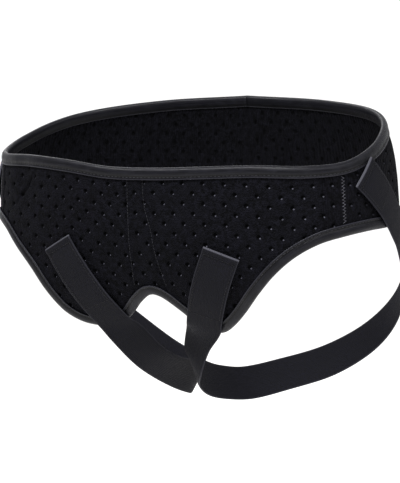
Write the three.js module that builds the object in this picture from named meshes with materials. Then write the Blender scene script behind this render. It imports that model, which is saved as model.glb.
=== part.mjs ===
// A hernia belt in the shape that it has when worn: a padded front panel with two lobes and an arch
// between them, a waist band that closes at the back, binding tape folded over both edges, and two
// elastic leg straps whose hook tabs grip the panel in front and the band at the hips.
// Millimetres, +Z up, the wearer faces -Y, and +X is the wearer's left.
// The origin is the centre of the hips, level with the top edge of the front panel.
import * as THREE from "three";

// The hips that the belt is shaped to, measured at REFERENCE_LEVEL.
const HALF_HIP_WIDTH = 169.5;
const FRONT_DEPTH = 114.5;
const BACK_DEPTH = 119;
const GROIN_GROOVE = 20;
const GROIN_GROOVE_REACH = 48;
const HIP_SQUARENESS = 2.3;

// The belt's edges, measured down from the origin's level, or up where it says rise.
const LOBE_DROP = 127;
const BAND_DROP = 41;
const BACK_RISE = 61;
const SIDE_SEAM_TO_CENTRE = 170;

// Cloth and tape.
const PANEL_WALL = 3.2;
const BAND_WALL = 3.2;
const TAPE_WALL = 0.8;
const TAPE_LEG = 8;
const STRAP_WIDTH = 30;
const STRAP_WALL = 1.8;
const HOOK_WALL = 1.2;
const HOOK_INSET = 1.5;
const FRONT_HOOK_SETBACK = 2;
const FRONT_HOOK_LENGTH = 56;
const HIP_HOOK_SETBACK = 6;
const HIP_HOOK_LENGTH = 26;
const CLOSURE_LENGTH = 110;
const CLOSURE_HEIGHT = 56;
const CLOSURE_WALL = 2;
const GAP = 0.3;

// Where the leg straps hang lowest.
const CROTCH_DROP = 188;

// How finely the cloth is faceted.
const EDGE_STEP = 6.4;
const TOP_TAPE_STEP = 10;
const STRAP_STEP = 11;
const PANEL_ROWS = 9;
const BAND_ROWS = 5;
const STRAP_COLUMN_STEP = 7.5;

// Heights above the skin at which each layer lies.
const PANEL_IN = TAPE_WALL + GAP;
const PANEL_OUT = PANEL_IN + PANEL_WALL;
const BAND_OUT = PANEL_IN + BAND_WALL;
const TAPE_OUT = Math.max(PANEL_OUT, BAND_OUT) + GAP;
const HOOK_OVER_PANEL = PANEL_OUT + GAP;
const HOOK_OVER_BAND = BAND_OUT + GAP;

// A strap's width is faceted in an even number of spans, so that one line of points is its middle.
const STRAP_SPANS = 2 * Math.max(1, Math.round(STRAP_WIDTH / STRAP_COLUMN_STEP / 2));

// Sections of the hips, from the waist down. level is a share of LOBE_DROP above the origin,
// width of HALF_HIP_WIDTH, front of FRONT_DEPTH, back of BACK_DEPTH, and groove of GROIN_GROOVE.
const REFERENCE_LEVEL = -0.235;
const HIP_SECTIONS = [
  { level: -1.25, width: 0.995, front: 0.5, back: 1.04, groove: 1.25 },
  { level: -1.1, width: 0.997, front: 0.61, back: 1.06, groove: 1 },
  { level: -0.945, width: 1, front: 0.735, back: 1.067, groove: 0.75 },
  { level: -0.75, width: 1.003, front: 0.87, back: 1.067, groove: 0.45 },
  { level: -0.47, width: 1.003, front: 0.965, back: 1.042, groove: 0.15 },
  { level: -0.235, width: 1, front: 1, back: 1, groove: 0.02 },
  { level: 0, width: 0.988, front: 1.013, back: 0.958, groove: 0 },
  { level: 0.157, width: 0.968, front: 1.009, back: 0.924, groove: 0 },
  { level: 0.33, width: 0.923, front: 0.991, back: 0.891, groove: 0 },
  { level: 0.63, width: 0.855, front: 0.943, back: 0.84, groove: 0 },
];

// The top edge, all the way round. turn is 0 at the front centre, 1 at the back centre by the
// wearer's left and -1 by the right. rise is a share of BACK_RISE.
const TOP_EDGE = [
  { turn: -1, rise: 1 },
  { turn: -0.8, rise: 0.92 },
  { turn: -0.63, rise: 0.73 },
  { turn: -0.5, rise: 0.44 },
  { turn: -0.42, rise: 0.27 },
  { turn: -0.35, rise: 0.2 },
  { turn: -0.23, rise: 0.188 },
  { turn: -0.14, rise: 0.138 },
  { turn: -0.05, rise: 0.055 },
  { turn: 0.03, rise: 0.042 },
  { turn: 0.12, rise: 0.06 },
  { turn: 0.21, rise: 0.08 },
  { turn: 0.31, rise: 0.07 },
  { turn: 0.376, rise: 0.12 },
  { turn: 0.455, rise: 0.316 },
  { turn: 0.516, rise: 0.49 },
  { turn: 0.63, rise: 0.75 },
  { turn: 0.8, rise: 0.92 },
  { turn: 1, rise: 1 },
];

// The lower edge of the band behind the side seams, in shares of BAND_DROP.
const BAND_LOWER_EDGE = [
  { turn: -1, drop: 0.49 },
  { turn: -0.87, drop: 0.59 },
  { turn: -0.75, drop: 0.76 },
  { turn: -0.63, drop: 0.92 },
  { turn: -0.5, drop: 1.02 },
  { turn: -0.42, drop: 1.02 },
  { turn: 0.42, drop: 1.12 },
  { turn: 0.5, drop: 1.07 },
  { turn: 0.63, drop: 0.92 },
  { turn: 0.75, drop: 0.76 },
  { turn: 0.87, drop: 0.59 },
  { turn: 1, drop: 0.49 },
];

// The lower edge of the front panel, in shares of LOBE_DROP: leg edge, lobe, arch, lobe, leg edge.
const PANEL_LOWER_EDGE = [
  { turn: -0.36, drop: 0.342 },
  { turn: -0.315, drop: 0.395 },
  { turn: -0.276, drop: 0.506 },
  { turn: -0.237, drop: 0.635 },
  { turn: -0.206, drop: 0.783 },
  { turn: -0.179, drop: 0.898 },
  { turn: -0.151, drop: 0.961 },
  { turn: -0.115, drop: 0.988 },
  { turn: -0.08, drop: 0.975 },
  { turn: -0.052, drop: 0.912 },
  { turn: -0.022, drop: 0.815 },
  { turn: 0.004, drop: 0.762 },
  { turn: 0.025, drop: 0.779 },
  { turn: 0.053, drop: 0.858 },
  { turn: 0.083, drop: 0.958 },
  { turn: 0.108, drop: 1 },
  { turn: 0.131, drop: 0.997 },
  { turn: 0.151, drop: 0.953 },
  { turn: 0.177, drop: 0.868 },
  { turn: 0.205, drop: 0.751 },
  { turn: 0.238, drop: 0.623 },
  { turn: 0.274, drop: 0.517 },
  { turn: 0.318, drop: 0.435 },
  { turn: 0.364, drop: 0.392 },
];

// Soft hollows in the cloth. reach is in turns, level and drop in shares of LOBE_DROP, and depth
// in shares of PANEL_WALL.
const HOLLOWS = [
  { turn: -0.25, reach: 0.0237, level: -0.09, drop: 0.157, depth: 0.78 },
  { turn: 0.17, reach: 0.0194, level: -0.83, drop: 0.094, depth: 0.47 },
];

// The leg straps, from the front tab through the crotch and round the thigh to the hip tab.
// frontTab and hipTab are the two ends of the stretch that lies on the cloth, from the free end in.
// free holds the stretch between them: across is a share of HALF_HIP_WIDTH towards the strap's own
// side, back of BACK_DEPTH behind the origin, and drop of CROTCH_DROP. swing is how far the outer
// face has turned from looking forward, past the other leg, and tilt how far it looks down.
const LEFT_STRAP = {
  side: 1,
  frontTab: [
    { turn: 0.1535, level: -0.49 },
    { turn: 0.095, level: -0.96 },
  ],
  hipTab: [
    { turn: 0.411, level: 0 },
    { turn: 0.536, level: -0.4 },
  ],
  free: [
    { across: 0.178, back: -0.53, drop: 0.737, swing: 36, tilt: 24 },
    { across: 0.109, back: -0.4, drop: 0.85, swing: 53, tilt: 23 },
    { across: 0.059, back: -0.18, drop: 0.9, swing: 72, tilt: 14 },
    { across: 0.08, back: 0.01, drop: 0.95, swing: 84, tilt: 10 },
    { across: 0.066, back: 0.28, drop: 0.985, swing: 86, tilt: 20 },
    { across: 0.123, back: 0.5, drop: 1, swing: 128, tilt: 28 },
    { across: 0.26, back: 0.72, drop: 0.97, swing: 160, tilt: 26 },
    { across: 0.485, back: 0.85, drop: 0.9, swing: 180, tilt: 24 },
    { across: 0.695, back: 0.88, drop: 0.785, swing: 205, tilt: 20 },
    { across: 0.875, back: 0.74, drop: 0.63, swing: 230, tilt: 13 },
    { across: 0.98, back: 0.49, drop: 0.455, swing: 250, tilt: 7 },
  ],
};
const RIGHT_STRAP = {
  side: -1,
  frontTab: [
    { turn: -0.161, level: -0.449 },
    { turn: -0.083, level: -0.955 },
  ],
  hipTab: [
    { turn: -0.411, level: 0 },
    { turn: -0.536, level: -0.4 },
  ],
  free: [
    { across: 0.192, back: -0.605, drop: 0.708, swing: 26, tilt: 37 },
    { across: 0.126, back: -0.412, drop: 0.826, swing: 34, tilt: 39 },
    { across: 0.102, back: -0.244, drop: 0.88, swing: 39, tilt: 35 },
    { across: 0.092, back: 0.052, drop: 0.938, swing: 55, tilt: 24 },
    { across: 0.101, back: 0.313, drop: 0.975, swing: 83, tilt: 24 },
    { across: 0.163, back: 0.511, drop: 0.983, swing: 129, tilt: 27 },
    { across: 0.286, back: 0.7, drop: 0.959, swing: 160, tilt: 26 },
    { across: 0.485, back: 0.85, drop: 0.9, swing: 180, tilt: 24 },
    { across: 0.695, back: 0.88, drop: 0.785, swing: 205, tilt: 20 },
    { across: 0.875, back: 0.74, drop: 0.63, swing: 230, tilt: 13 },
    { across: 0.98, back: 0.49, drop: 0.455, swing: 250, tilt: 7 },
  ],
};

// Reads a table as smooth curves over its first column.
function smoothTable(rows) {
  const [key, ...columns] = Object.keys(rows[0]);
  const values = rows.flatMap((row) => columns.map((column) => row[column]));
  const curve = new THREE.CubicInterpolant(rows.map((row) => row[key]), values, columns.length);
  return (at) => {
    const found = curve.evaluate(at);
    return Object.fromEntries(columns.map((column, k) => [column, found[k]]));
  };
}

const hipSection = smoothTable(HIP_SECTIONS);
const topEdge = smoothTable(TOP_EDGE);
const lowerEdge = smoothTable(
  [
    ...BAND_LOWER_EDGE.filter((row) => row.turn < 0).map((row) => ({ turn: row.turn, height: -row.drop * BAND_DROP })),
    ...PANEL_LOWER_EDGE.map((row) => ({ turn: row.turn, height: -row.drop * LOBE_DROP })),
    ...BAND_LOWER_EDGE.filter((row) => row.turn > 0).map((row) => ({ turn: row.turn, height: -row.drop * BAND_DROP })),
  ],
);
const topHeight = (turn) => topEdge(turn).rise * BACK_RISE;
const lowerHeight = (turn) => lowerEdge(turn).height;

// A point of the hips' outline, angle 0 in front and growing towards +X.
function outlinePoint(angle, height) {
  const section = hipSection(height / LOBE_DROP);
  const sine = Math.sin(angle);
  const cosine = Math.cos(angle);
  const power = 2 / HIP_SQUARENESS;
  const depth = cosine > 0 ? section.front * FRONT_DEPTH : section.back * BACK_DEPTH;
  const x = section.width * HALF_HIP_WIDTH * Math.sign(sine) * Math.abs(sine) ** power;
  const groove = cosine > 0 ? section.groove * GROIN_GROOVE * Math.exp(-((x / GROIN_GROOVE_REACH) ** 2)) : 0;
  return new THREE.Vector3(x, groove - depth * Math.sign(cosine) * Math.abs(cosine) ** power, height);
}

// The way round the hips from the front centre to the back centre, by length.
const OUTLINE_STEPS = 720;
const halfOutline = [0];
for (let k = 1; k <= OUTLINE_STEPS; k++) {
  const here = outlinePoint((Math.PI * k) / OUTLINE_STEPS, REFERENCE_LEVEL * LOBE_DROP);
  const before = outlinePoint((Math.PI * (k - 1)) / OUTLINE_STEPS, REFERENCE_LEVEL * LOBE_DROP);
  halfOutline.push(halfOutline[k - 1] + here.distanceTo(before));
}
const HALF_GIRTH = halfOutline[OUTLINE_STEPS];

// The outline's angle at a turn. A turn past 1 goes on round the back.
function angleAt(turn) {
  const wrapped = turn - 2 * Math.round(turn / 2);
  const length = Math.abs(wrapped) * HALF_GIRTH;
  let k = halfOutline.findIndex((reached) => reached >= length);
  k = Math.min(Math.max(k, 1), OUTLINE_STEPS);
  const share = (length - halfOutline[k - 1]) / (halfOutline[k] - halfOutline[k - 1]);
  return (Math.sign(wrapped) * Math.PI * (k - 1 + share)) / OUTLINE_STEPS;
}

// The skin at a turn and height, with its outward normal and its slopes along turn and height.
function skinAt(turn, height) {
  const turnStep = 0.002;
  const heightStep = 1;
  const point = outlinePoint(angleAt(turn), height);
  const alongTurn = outlinePoint(angleAt(turn + turnStep), height)
    .sub(outlinePoint(angleAt(turn - turnStep), height))
    .divideScalar(2 * turnStep);
  const alongHeight = outlinePoint(angleAt(turn), height + heightStep)
    .sub(outlinePoint(angleAt(turn), height - heightStep))
    .divideScalar(2 * heightStep);
  const normal = alongTurn.clone().cross(alongHeight).normalize();
  return { point, alongTurn, alongHeight, normal };
}

function hollowDepth(turn, height) {
  return HOLLOWS.reduce((depth, hollow) => {
    const around = (turn - hollow.turn) / hollow.reach;
    const down = (height / LOBE_DROP - hollow.level) / hollow.drop;
    return depth + hollow.depth * PANEL_WALL * Math.exp(-(around * around + down * down));
  }, 0);
}

// A point that lies off the skin by a given height.
function overSkin(turn, height, off) {
  const { point, normal } = skinAt(turn, height);
  return point.addScaledVector(normal, off - hollowDepth(turn, height));
}

// How turn and height change for each millimetre walked over the skin, square to a direction.
function squareTo(turn, height, direction) {
  const { alongTurn, alongHeight, normal } = skinAt(turn, height);
  const way = normal.clone().cross(direction).normalize();
  const tt = alongTurn.dot(alongTurn);
  const th = alongTurn.dot(alongHeight);
  const hh = alongHeight.dot(alongHeight);
  const wayTurn = way.dot(alongTurn);
  const wayHeight = way.dot(alongHeight);
  const size = tt * hh - th * th;
  return { turn: (wayTurn * hh - wayHeight * th) / size, height: (wayHeight * tt - wayTurn * th) / size };
}

// Builds a piece of cloth from a grid of points on its outer and inner face.
function clothGeometry(outer, inner) {
  const rows = outer.length;
  const columns = outer[0].length;
  const corners = [];
  const at = (face, i, j) => corners.push(...face[i][j].toArray());
  const quad = (a, b, c, d) => {
    for (const [face, i, j] of [a, b, c, a, c, d]) at(face, i, j);
  };
  for (let i = 0; i + 1 < rows; i++) {
    for (let j = 0; j + 1 < columns; j++) {
      quad([outer, i, j], [outer, i + 1, j], [outer, i + 1, j + 1], [outer, i, j + 1]);
      quad([inner, i, j], [inner, i, j + 1], [inner, i + 1, j + 1], [inner, i + 1, j]);
    }
  }
  for (let i = 0; i + 1 < rows; i++) {
    quad([outer, i + 1, 0], [outer, i, 0], [inner, i, 0], [inner, i + 1, 0]);
    quad([outer, i, columns - 1], [outer, i + 1, columns - 1], [inner, i + 1, columns - 1], [inner, i, columns - 1]);
  }
  for (let j = 0; j + 1 < columns; j++) {
    quad([outer, 0, j], [outer, 0, j + 1], [inner, 0, j + 1], [inner, 0, j]);
    quad([outer, rows - 1, j + 1], [outer, rows - 1, j], [inner, rows - 1, j], [inner, rows - 1, j + 1]);
  }
  const geometry = new THREE.BufferGeometry();
  geometry.setAttribute("position", new THREE.Float32BufferAttribute(facingOut(corners), 3));
  geometry.computeVertexNormals();
  return geometry;
}

// Turns the triangles round if they enclose a negative volume.
function facingOut(corners) {
  let volume = 0;
  for (let k = 0; k < corners.length; k += 9) {
    const [a, b, c] = [0, 3, 6].map((s) => new THREE.Vector3().fromArray(corners, k + s));
    volume += a.dot(b.cross(c));
  }
  if (volume > 0) return corners;
  const turned = [];
  for (let k = 0; k < corners.length; k += 9) {
    turned.push(...corners.slice(k, k + 3), ...corners.slice(k + 6, k + 9), ...corners.slice(k + 3, k + 6));
  }
  return turned;
}

function spread(from, to, count) {
  return Array.from({ length: count + 1 }, (_, k) => from + ((to - from) * k) / count);
}

// Turns that lie evenly along an edge, so that steep stretches get as many as level ones.
function evenTurns(heightOf, from, to, step) {
  const samples = spread(from, to, 1600);
  const reached = [0];
  for (let k = 1; k < samples.length; k++) {
    const here = overSkin(samples[k], heightOf(samples[k]), 0);
    const before = overSkin(samples[k - 1], heightOf(samples[k - 1]), 0);
    reached.push(reached[k - 1] + here.distanceTo(before));
  }
  const length = reached[samples.length - 1];
  const wanted = spread(0, length, Math.round(length / step));
  return wanted.map((distance) => {
    const k = Math.max(1, reached.findIndex((value) => value >= distance - 1e-9));
    const share = (distance - reached[k - 1]) / (reached[k] - reached[k - 1]);
    return samples[k - 1] + share * (samples[k] - samples[k - 1]);
  });
}

// A place that lies in from an edge, square to it. inward is 1 where the cloth is below the edge.
function inFromEdge(turn, heightOf, inward, deep) {
  const nudge = 0.001;
  const direction = overSkin(turn + nudge, heightOf(turn + nudge), 0)
    .sub(overSkin(turn - nudge, heightOf(turn - nudge), 0))
    .multiplyScalar(-inward);
  const rate = squareTo(turn, heightOf(turn), direction);
  return { turn: turn + rate.turn * deep, height: heightOf(turn) + rate.height * deep };
}

// Keeps a place from passing the cut ends of its cloth or tape.
function withinEnds(turn, turns) {
  return THREE.MathUtils.clamp(turn, turns[0], turns[turns.length - 1]);
}

// Cloth that fills the belt from its lower to its top edge, between two turns. The rows next to
// the edges lie where the tape's legs end.
function beltCloth(turns, rowCount, wall) {
  const places = turns.map((turn) => {
    const foot = inFromEdge(turn, lowerHeight, -1, TAPE_LEG);
    const head = inFromEdge(turn, topHeight, 1, TAPE_LEG);
    const between = spread(0, 1, rowCount - 2).map((share) => ({
      turn: foot.turn + share * (head.turn - foot.turn),
      height: foot.height + share * (head.height - foot.height),
    }));
    return [{ turn, height: lowerHeight(turn) }, ...between, { turn, height: topHeight(turn) }];
  });
  const face = (off) =>
    places.map((column) => column.map((place) => overSkin(withinEnds(place.turn, turns), place.height, off)));
  return clothGeometry(face(PANEL_IN + wall), face(PANEL_IN));
}

// Binding tape folded over an edge, given by how deep each corner lies and how far off the skin.
function foldedTape(turns, heightOf, inward) {
  const fold = TAPE_WALL + GAP;
  const outerFold = [
    [TAPE_LEG, TAPE_OUT + TAPE_WALL],
    [-fold, TAPE_OUT + TAPE_WALL],
    [-fold, 0],
    [TAPE_LEG, 0],
  ];
  const innerFold = [
    [TAPE_LEG, TAPE_OUT],
    [-GAP, TAPE_OUT],
    [-GAP, TAPE_WALL],
    [TAPE_LEG, TAPE_WALL],
  ];
  const face = (profile) =>
    turns.map((turn) =>
      profile.map(([deep, off]) => {
        const place = inFromEdge(turn, heightOf, inward, deep);
        return overSkin(withinEnds(place.turn, turns), place.height, off);
      }),
    );
  return clothGeometry(face(outerFold), face(innerFold));
}

// The stretch of a tab on the cloth, as places along its middle with the strap's own width rates.
function tabPath(tab, from, to, count) {
  const [end, root] = tab.map((place) => ({ turn: place.turn, height: place.level * LOBE_DROP }));
  const length = overSkin(end.turn, end.height, 0).distanceTo(overSkin(root.turn, root.height, 0));
  return spread(from / length, Math.min(to / length, 1), count).map((share) => {
    const turn = end.turn + share * (root.turn - end.turn);
    const height = end.height + share * (root.height - end.height);
    const skin = skinAt(turn, height);
    const direction = skin.alongTurn
      .multiplyScalar(root.turn - end.turn)
      .addScaledVector(skin.alongHeight, root.height - end.height);
    return { turn, height, rate: squareTo(turn, height, direction) };
  });
}

// Points across a tab at one place, at a height off the skin.
function acrossTab(place, halfWidth, off) {
  return spread(-halfWidth, halfWidth, STRAP_SPANS).map((side) =>
    overSkin(place.turn + place.rate.turn * side, place.height + place.rate.height * side, off),
  );
}

// The patch of hook tape under a tab. It starts a setback behind the tab's free end.
function hookPatch(tab, setback, length, off) {
  const path = tabPath(tab, setback, setback + length, Math.round(length / 7));
  const face = (height) => path.map((place) => acrossTab(place, STRAP_WIDTH / 2 - HOOK_INSET, height));
  return clothGeometry(face(off + HOOK_WALL), face(off));
}

// A leg strap: seated sections on the cloth at each end, and free sections between them.
function legStrap(strap) {
  const seated = (tab, off) =>
    tabPath(tab, 0, Infinity, 7).map((place) => ({
      inner: acrossTab(place, STRAP_WIDTH / 2, off),
      outer: acrossTab(place, STRAP_WIDTH / 2, off + STRAP_WALL),
    }));
  const front = seated(strap.frontTab, HOOK_OVER_PANEL + HOOK_WALL + GAP);
  const hip = seated(strap.hipTab, HOOK_OVER_BAND + HOOK_WALL + GAP).reverse();
  for (const section of hip) {
    section.inner.reverse();
    section.outer.reverse();
  }
  const middle = (section) => section.inner[STRAP_SPANS / 2].clone().lerp(section.outer[STRAP_SPANS / 2], 0.5);
  const centres = [
    middle(front[front.length - 1]),
    ...strap.free.map(
      (row) => new THREE.Vector3(strap.side * row.across * HALF_HIP_WIDTH, row.back * BACK_DEPTH, -row.drop * CROTCH_DROP),
    ),
    middle(hip[0]),
  ];
  const free = strap.free.map((row, k) => {
    const swing = THREE.MathUtils.degToRad(row.swing);
    const tilt = THREE.MathUtils.degToRad(row.tilt);
    const level = Math.cos(tilt);
    const look = new THREE.Vector3(-strap.side * Math.sin(swing) * level, -Math.cos(swing) * level, -Math.sin(tilt));
    const along = centres[k + 2].clone().sub(centres[k]).normalize();
    const across = look.clone().cross(along).normalize();
    const normal = along.clone().cross(across);
    const face = (off) =>
      spread(-STRAP_WIDTH / 2, STRAP_WIDTH / 2, STRAP_SPANS).map((side) =>
        centres[k + 1].clone().addScaledVector(across, side).addScaledVector(normal, off),
      );
    return { inner: face(-STRAP_WALL / 2), outer: face(STRAP_WALL / 2) };
  });
  const sections = [...front, ...free, ...hip];
  const reached = [0];
  for (let k = 1; k < sections.length; k++) {
    reached.push(reached[k - 1] + middle(sections[k]).distanceTo(middle(sections[k - 1])));
  }
  const values = sections.flatMap((section) => [...section.inner, ...section.outer].flatMap((point) => point.toArray()));
  const points = STRAP_SPANS + 1;
  const curve = new THREE.CubicInterpolant(reached, values, 2 * points * 3);
  const length = reached[reached.length - 1];
  const stations = spread(0, length, Math.round(length / STRAP_STEP)).map((distance) => {
    const found = Array.from(curve.evaluate(distance));
    return spread(0, 2 * points - 1, 2 * points - 1).map((k) => new THREE.Vector3().fromArray(found, 3 * k));
  });
  return clothGeometry(
    stations.map((row) => row.slice(points)),
    stations.map((row) => row.slice(0, points)),
  );
}

// The closure at the back: one plain tab that grips both ends of the band.
function closureTab() {
  const halfTurn = CLOSURE_LENGTH / 2 / HALF_GIRTH;
  const middle = (topHeight(1) + lowerHeight(1)) / 2;
  const turns = spread(1 - halfTurn, 1 + halfTurn, 12);
  const heights = spread(middle - CLOSURE_HEIGHT / 2, middle + CLOSURE_HEIGHT / 2, 4);
  const face = (off) => turns.map((turn) => heights.map((height) => overSkin(turn, height, off)));
  return clothGeometry(face(BAND_OUT + GAP + CLOSURE_WALL), face(BAND_OUT + GAP));
}

const CLOTH_COLOURS = {
  padded_cloth: { color: 0x141418, roughness: 0.95 },
  satin_tape: { color: 0x26262a, roughness: 0.55 },
  woven_elastic: { color: 0x212125, roughness: 0.8 },
  hook_tape: { color: 0x18181b, roughness: 0.9 },
};
const materials = Object.fromEntries(
  Object.entries(CLOTH_COLOURS).map(([name, look]) => [name, new THREE.MeshStandardMaterial({ ...look, metalness: 0 })]),
);

const belt = new THREE.Group();
function add(name, geometry, material) {
  const mesh = new THREE.Mesh(geometry, materials[material]);
  mesh.name = name;
  belt.add(mesh);
}

// The front panel reaches to the side seams, and each half of the band from there to the back.
const seamTurn = SIDE_SEAM_TO_CENTRE / HALF_GIRTH;
const halfGap = GAP / 2 / HALF_GIRTH;
const panelTurns = evenTurns(lowerHeight, halfGap - seamTurn, seamTurn - halfGap, EDGE_STEP);
const leftBandTurns = evenTurns(lowerHeight, seamTurn + halfGap, 1 - halfGap, 1.5 * EDGE_STEP);
const rightBandTurns = evenTurns(lowerHeight, -1 + halfGap, -seamTurn - halfGap, 1.5 * EDGE_STEP);
add("front_panel", beltCloth(panelTurns, PANEL_ROWS, PANEL_WALL), "padded_cloth");
add("back_band_left", beltCloth(leftBandTurns, BAND_ROWS, BAND_WALL), "padded_cloth");
add("back_band_right", beltCloth(rightBandTurns, BAND_ROWS, BAND_WALL), "padded_cloth");
add("closure_tab", closureTab(), "hook_tape");

// The tapes run from one end of the band round the front to the other.
const tapeTurns = [...rightBandTurns, ...panelTurns, ...leftBandTurns];
const topTurns = evenTurns(topHeight, -1 + halfGap, 1 - halfGap, TOP_TAPE_STEP);
add("lower_binding", foldedTape(tapeTurns, lowerHeight, -1), "satin_tape");
add("top_binding", foldedTape(topTurns, topHeight, 1), "satin_tape");

for (const [side, strap] of [["left", LEFT_STRAP], ["right", RIGHT_STRAP]]) {
  add(`leg_strap_${side}`, legStrap(strap), "woven_elastic");
  add(`front_hook_${side}`, hookPatch(strap.frontTab, FRONT_HOOK_SETBACK, FRONT_HOOK_LENGTH, HOOK_OVER_PANEL), "hook_tape");
  add(`hip_hook_${side}`, hookPatch(strap.hipTab, HIP_HOOK_SETBACK, HIP_HOOK_LENGTH, HOOK_OVER_BAND), "hook_tape");
}

export default belt;
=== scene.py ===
# %% [markdown]
# # A hernia belt in the shape that it has when worn
# The belt is cut from foam-backed knit, bound with satin tape, and has two elastic leg straps.
# Each piece is made as it is in a workroom: cut and sewn flat on the table, with its outer side
# up and the table marked in millimetres, and then laid on the form of the hips. The flat state
# keeps the modelling simple, and the same flat coordinates carry the weave and the holes.

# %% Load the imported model
import math

import bpy
import numpy as np
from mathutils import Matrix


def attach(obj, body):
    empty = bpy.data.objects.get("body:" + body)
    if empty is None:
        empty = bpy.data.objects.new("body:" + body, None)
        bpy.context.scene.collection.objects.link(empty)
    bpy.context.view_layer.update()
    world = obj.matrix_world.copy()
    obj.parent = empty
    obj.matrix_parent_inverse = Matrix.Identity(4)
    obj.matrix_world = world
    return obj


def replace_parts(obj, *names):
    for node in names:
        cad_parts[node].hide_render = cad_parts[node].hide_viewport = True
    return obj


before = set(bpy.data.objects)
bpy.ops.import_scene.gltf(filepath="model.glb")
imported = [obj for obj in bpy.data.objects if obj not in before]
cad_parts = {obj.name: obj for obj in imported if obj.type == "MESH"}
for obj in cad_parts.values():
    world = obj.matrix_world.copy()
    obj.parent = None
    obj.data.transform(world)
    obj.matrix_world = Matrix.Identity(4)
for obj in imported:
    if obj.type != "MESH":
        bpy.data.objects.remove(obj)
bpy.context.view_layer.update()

# %% [markdown]
# ## The form of the hips
# Cloth that is worn takes the shape of the body under it. The form is a stack of oval sections.
# A few sections from the waist down, joined by smooth curves, give the belly, the hips and the
# hollow of the groin. Sizes are shares of a few real measurements, as in a tailor's table.

# %% Measurements, in millimetres
HALF_HIP_WIDTH, FRONT_DEPTH, BACK_DEPTH = 169.5, 114.5, 119
GROIN_GROOVE, GROIN_GROOVE_REACH = 20, 48
LOBE_DROP, BAND_DROP, BACK_RISE = 127, 41, 61
SIDE_SEAM_TO_CENTRE = 170
PANEL_WALL = 3.2
TAPE_WALL, TAPE_LEG = 0.8, 8
STRAP_WIDTH, STRAP_WALL = 30, 1.8
HOOK_WALL = 1.2
GAP = 0.3
CROTCH_DROP = 188
PANEL_IN = TAPE_WALL + GAP
PANEL_OUT = PANEL_IN + PANEL_WALL
STRAP_IN = PANEL_OUT + GAP + HOOK_WALL + GAP
# the exponent of the oval sections, where an ellipse has 2
HIP_SQUARENESS = 2.3
print("the panel's faces are", PANEL_IN, "and", round(PANEL_OUT, 2), "mm off the form")


# %% Read a table as smooth curves
def smooth_table(header, rows):
    """Curves through a table's rows, over its first column: Hermite pieces whose slope at a
    row is that of the line between its neighbours, and straight out at the ends."""
    names = header.split()[1:]
    rows = np.array(rows, float)
    keys, values = rows[:, 0], rows[:, 1:]

    def read(at):
        at = np.asarray(at, float)
        k = np.clip(np.searchsorted(keys, at, "right"), 1, len(keys) - 1)
        before, after = np.maximum(k - 2, 0), np.minimum(k + 1, len(keys) - 1)
        t0, t1 = keys[k - 1], keys[k]
        first, last = k == 1, k == len(keys) - 1
        t_before = np.where(first, t1, keys[before])
        t_after = np.where(last, t0, keys[after])
        before, after = np.where(first, k, before), np.where(last, k - 1, after)
        half = (t1 - t0) / 2
        w_before, w_after = half / (t0 - t_before), half / (t_after - t1)
        p = np.clip((at - t0) / (t1 - t0), 0, 1)
        p2, p3 = p * p, p * p * p
        weights = (
            -w_before * p3 + 2 * w_before * p2 - w_before * p,
            (1 + w_before) * p3 + (-1.5 - 2 * w_before) * p2 + (-0.5 + w_before) * p + 1,
            (-1 - w_after) * p3 + (1.5 + w_after) * p2 + 0.5 * p,
            w_after * p3 - w_after * p2,
        )
        parts = [w[..., None] * values[i] for w, i in zip(weights, (before, k - 1, k, after))]
        found = sum(parts)
        return {name: found[..., n] for n, name in enumerate(names)}

    return read


# %% Sections of the hips
# level is a share of LOBE_DROP, and the others are shares of the width, the depths and the groove
hip_section = smooth_table(
    "level  width  front  back   groove",
    [
        (-1.25, 0.995, 0.5, 1.04, 1.25),
        (-1.1, 0.997, 0.61, 1.06, 1),
        (-0.945, 1, 0.735, 1.067, 0.75),
        (-0.75, 1.003, 0.87, 1.067, 0.45),
        (-0.47, 1.003, 0.965, 1.042, 0.15),
        (-0.235, 1, 1, 1, 0.02),
        (0, 0.988, 1.013, 0.958, 0),
        (0.157, 0.968, 1.009, 0.924, 0),
        (0.33, 0.923, 0.991, 0.891, 0),
        (0.63, 0.855, 0.943, 0.84, 0),
    ],
)
REFERENCE_HEIGHT = -0.235 * LOBE_DROP
print("reference height, mm:", round(REFERENCE_HEIGHT, 1))


def hip_outline(angle, height):
    """A point of the form's outline. The angle is 0 in front and grows to the wearer's left."""
    section = hip_section(height / LOBE_DROP)
    sine, cosine = np.sin(angle), np.cos(angle)
    power = 2 / HIP_SQUARENESS
    depth = np.where(cosine > 0, section["front"] * FRONT_DEPTH, section["back"] * BACK_DEPTH)
    x = section["width"] * HALF_HIP_WIDTH * np.sign(sine) * np.abs(sine) ** power
    groove = section["groove"] * GROIN_GROOVE * np.exp(-((x / GROIN_GROOVE_REACH) ** 2))
    groove = np.where(cosine > 0, groove, 0)
    y = groove - depth * np.sign(cosine) * np.abs(cosine) ** power
    return np.stack([x, y, height + 0 * x], -1)


# %% Walk round the form by length
WALK_POINTS = 721
angles = np.linspace(0, math.pi, WALK_POINTS)
outline = hip_outline(angles, np.full(WALK_POINTS, REFERENCE_HEIGHT))
walked = np.concatenate([[0], np.cumsum(np.linalg.norm(np.diff(outline, axis=0), axis=1))])
HALF_GIRTH = walked[-1]
SLOPE_STEP_ALONG, SLOPE_STEP_UP = 0.9, 1
print("hip girth, mm:", round(2 * HALF_GIRTH))


def hip_point(arc, height):
    """A point of the form, at an arc walked from the middle of the front at REFERENCE_HEIGHT."""
    wrapped = arc - 2 * HALF_GIRTH * np.round(arc / (2 * HALF_GIRTH))
    angle = np.sign(wrapped) * np.interp(np.abs(wrapped), walked, angles)
    return hip_outline(angle, height)


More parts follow.
